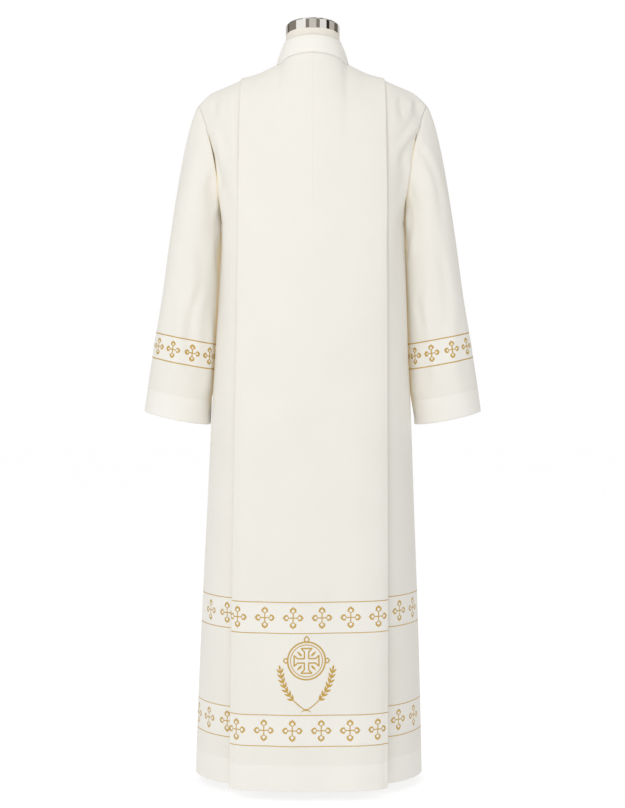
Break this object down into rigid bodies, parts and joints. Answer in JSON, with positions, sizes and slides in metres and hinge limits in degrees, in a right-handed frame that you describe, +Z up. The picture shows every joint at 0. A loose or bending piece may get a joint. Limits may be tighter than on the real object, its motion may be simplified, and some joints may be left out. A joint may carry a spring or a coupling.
{
  "type": "alb robe on a dress form",
  "caption": "Floor-length vestment with a stand collar, set-in sleeves and a wide box pleat down its back, worn on a limbless dress form",
  "frame": {"origin": "centre of the base plate's underside, on the floor", "axes": "+Z up; the garment's back, with its pleat, faces -Y, its front faces +Y, and +X is to the wearer's right"},
  "size_m": [0.6926, 0.3638, 1.5496],
  "materials": {
    "cloth": "matte",
    "jersey": "matte",
    "chrome": "polished",
    "satin_steel": "satin"
  },
  "bodies": {
    "root": {"robe_back": "cloth", "robe_front_left": "cloth", "robe_front_right": "cloth", "sleeve_left": "cloth", "sleeve_right": "cloth", "stand_collar": "cloth", "form_torso": "jersey", "neck_cap": "chrome", "stand_pole": "satin_steel", "stand_base": "satin_steel"}
  },
  "joints": []
}
